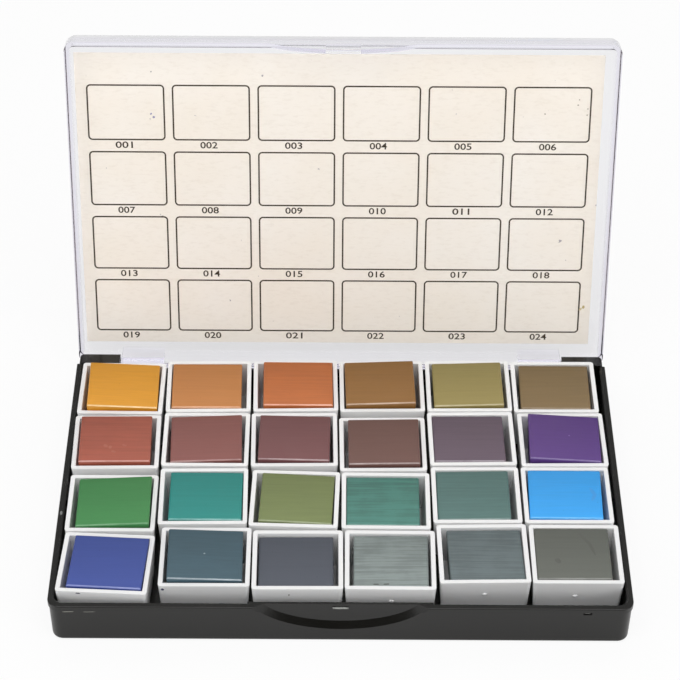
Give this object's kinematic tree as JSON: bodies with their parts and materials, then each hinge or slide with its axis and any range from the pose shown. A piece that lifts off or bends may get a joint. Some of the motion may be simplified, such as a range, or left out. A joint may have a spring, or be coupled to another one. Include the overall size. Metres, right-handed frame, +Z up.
{
  "type": "watercolour paint box",
  "caption": "Flat black plastic paint box with a clear hinged lid, a colour card inside it, and white half pans of watercolour that lift out of the tray.",
  "frame": {"origin": "centre of the tray's flat underside, on the surface that the box stands on", "axes": "+Z up, +X to the painter's right along the hinge, -Y towards the front edge with the finger recess"},
  "size_m": [0.1244, 0.1042, 0.0873],
  "materials": {
    "black_plastic": "moulded black polystyrene, light sheen and fine scuffs",
    "clear_plastic": "clear polystyrene moulding with a faint grey cast, polished",
    "white_plastic": "white moulded plastic, smooth",
    "card_paper": "cream watercolour paper, faint tooth",
    "paint_01": "dry ochre watercolour, satin cut face with fine streaks",
    "paint_02": "dry tan watercolour, satin cut face with fine streaks",
    "paint_03": "dry terracotta watercolour, satin cut face with fine streaks",
    "paint_04": "dry brown watercolour, satin cut face with fine streaks",
    "paint_05": "dry olive watercolour, satin cut face with fine streaks",
    "paint_06": "dry taupe watercolour, satin cut face with fine streaks",
    "paint_07": "dry brick red watercolour, satin cut face with fine streaks",
    "paint_08": "dry mauve red watercolour, satin cut face with fine streaks",
    "paint_09": "dry plum watercolour, satin cut face with fine streaks",
    "paint_10": "dry brown mauve watercolour, satin cut face with fine streaks",
    "paint_11": "dry grey purple watercolour, satin cut face with fine streaks",
    "paint_12": "dry violet watercolour, satin cut face with fine streaks",
    "paint_13": "dry green watercolour, satin cut face with fine streaks",
    "paint_14": "dry teal watercolour, satin cut face with fine streaks",
    "paint_15": "dry olive green watercolour, satin cut face with fine streaks",
    "paint_16": "dry teal green watercolour, satin cut face with fine streaks",
    "paint_17": "dry grey green watercolour, satin cut face with fine streaks",
    "paint_18": "dry bright blue watercolour, satin cut face with fine streaks",
    "paint_19": "dry indigo watercolour, satin cut face with fine streaks",
    "paint_20": "dry slate blue watercolour, satin cut face with fine streaks",
    "paint_21": "dry dark grey purple watercolour, satin cut face with fine streaks",
    "paint_22": "dry light grey watercolour, satin cut face with fine streaks",
    "paint_23": "dry grey blue watercolour, satin cut face with fine streaks",
    "paint_24": "dry warm grey watercolour, satin cut face with fine streaks"
  },
  "bodies": {
    "box": {"base_tray": "black_plastic"},
    "cover": {"lid": "clear_plastic", "colour_card": "card_paper"},
    "colour_01": {"half_pan_01": "white_plastic", "paint_01": "paint_01"},
    "colour_02": {"half_pan_02": "white_plastic", "paint_02": "paint_02"},
    "colour_03": {"half_pan_03": "white_plastic", "paint_03": "paint_03"},
    "colour_04": {"half_pan_04": "white_plastic", "paint_04": "paint_04"},
    "colour_05": {"half_pan_05": "white_plastic", "paint_05": "paint_05"},
    "colour_06": {"half_pan_06": "white_plastic", "paint_06": "paint_06"},
    "colour_07": {"half_pan_07": "white_plastic", "paint_07": "paint_07"},
    "colour_08": {"half_pan_08": "white_plastic", "paint_08": "paint_08"},
    "colour_09": {"half_pan_09": "white_plastic", "paint_09": "paint_09"},
    "colour_10": {"half_pan_10": "white_plastic", "paint_10": "paint_10"},
    "colour_11": {"half_pan_11": "white_plastic", "paint_11": "paint_11"},
    "colour_12": {"half_pan_12": "white_plastic", "paint_12": "paint_12"},
    "colour_13": {"half_pan_13": "white_plastic", "paint_13": "paint_13"},
    "colour_14": {"half_pan_14": "white_plastic", "paint_14": "paint_14"},
    "colour_15": {"half_pan_15": "white_plastic", "paint_15": "paint_15"},
    "colour_16": {"half_pan_16": "white_plastic", "paint_16": "paint_16"},
    "colour_17": {"half_pan_17": "white_plastic", "paint_17": "paint_17"},
    "colour_18": {"half_pan_18": "white_plastic", "paint_18": "paint_18"},
    "colour_19": {"half_pan_19": "white_plastic", "paint_19": "paint_19"},
    "colour_20": {"half_pan_20": "white_plastic", "paint_20": "paint_20"},
    "colour_21": {"half_pan_21": "white_plastic", "paint_21": "paint_21"},
    "colour_22": {"half_pan_22": "white_plastic", "paint_22": "paint_22"},
    "colour_23": {"half_pan_23": "white_plastic", "paint_23": "paint_23"},
    "colour_24": {"half_pan_24": "white_plastic", "paint_24": "paint_24"}
  },
  "joints": [
    {"name": "lid_hinge", "type": "hinge", "parent": "box", "child": "cover", "pos_m": [0, 0.0392, 0.0095], "axis": [-1, 0, 0], "range_deg": [-103.5, 0]},
    {"name": "pan_01_lift", "type": "slide", "parent": "box", "child": "colour_01", "axis": [0, 0, 1], "range_m": [0, 0.015]},
    {"name": "pan_02_lift", "type": "slide", "parent": "box", "child": "colour_02", "axis": [0, 0, 1], "range_m": [0, 0.015]},
    {"name": "pan_03_lift", "type": "slide", "parent": "box", "child": "colour_03", "axis": [0, 0, 1], "range_m": [0, 0.015]},
    {"name": "pan_04_lift", "type": "slide", "parent": "box", "child": "colour_04", "axis": [0, 0, 1], "range_m": [0, 0.015]},
    {"name": "pan_05_lift", "type": "slide", "parent": "box", "child": "colour_05", "axis": [0, 0, 1], "range_m": [0, 0.015]},
    {"name": "pan_06_lift", "type": "slide", "parent": "box", "child": "colour_06", "axis": [0, 0, 1], "range_m": [0, 0.015]},
    {"name": "pan_07_lift", "type": "slide", "parent": "box", "child": "colour_07", "axis": [0, 0, 1], "range_m": [0, 0.015]},
    {"name": "pan_08_lift", "type": "slide", "parent": "box", "child": "colour_08", "axis": [0, 0, 1], "range_m": [0, 0.015]},
    {"name": "pan_09_lift", "type": "slide", "parent": "box", "child": "colour_09", "axis": [0, 0, 1], "range_m": [0, 0.015]},
    {"name": "pan_10_lift", "type": "slide", "parent": "box", "child": "colour_10", "axis": [0, 0, 1], "range_m": [0, 0.015]},
    {"name": "pan_11_lift", "type": "slide", "parent": "box", "child": "colour_11", "axis": [0, 0, 1], "range_m": [0, 0.015]},
    {"name": "pan_12_lift", "type": "slide", "parent": "box", "child": "colour_12", "axis": [0, 0, 1], "range_m": [0, 0.015]},
    {"name": "pan_13_lift", "type": "slide", "parent": "box", "child": "colour_13", "axis": [0, 0, 1], "range_m": [0, 0.015]},
    {"name": "pan_14_lift", "type": "slide", "parent": "box", "child": "colour_14", "axis": [0, 0, 1], "range_m": [0, 0.015]},
    {"name": "pan_15_lift", "type": "slide", "parent": "box", "child": "colour_15", "axis": [0, 0, 1], "range_m": [0, 0.015]},
    {"name": "pan_16_lift", "type": "slide", "parent": "box", "child": "colour_16", "axis": [0, 0, 1], "range_m": [0, 0.015]},
    {"name": "pan_17_lift", "type": "slide", "parent": "box", "child": "colour_17", "axis": [0, 0, 1], "range_m": [0, 0.015]},
    {"name": "pan_18_lift", "type": "slide", "parent": "box", "child": "colour_18", "axis": [0, 0, 1], "range_m": [0, 0.015]},
    {"name": "pan_19_lift", "type": "slide", "parent": "box", "child": "colour_19", "axis": [0, 0, 1], "range_m": [0, 0.015]},
    {"name": "pan_20_lift", "type": "slide", "parent": "box", "child": "colour_20", "axis": [0, 0, 1], "range_m": [0, 0.015]},
    {"name": "pan_21_lift", "type": "slide", "parent": "box", "child": "colour_21", "axis": [0, 0, 1], "range_m": [0, 0.015]},
    {"name": "pan_22_lift", "type": "slide", "parent": "box", "child": "colour_22", "axis": [0, 0, 1], "range_m": [0, 0.015]},
    {"name": "pan_23_lift", "type": "slide", "parent": "box", "child": "colour_23", "axis": [0, 0, 1], "range_m": [0, 0.015]},
    {"name": "pan_24_lift", "type": "slide", "parent": "box", "child": "colour_24", "axis": [0, 0, 1], "range_m": [0, 0.015]}
  ]
}
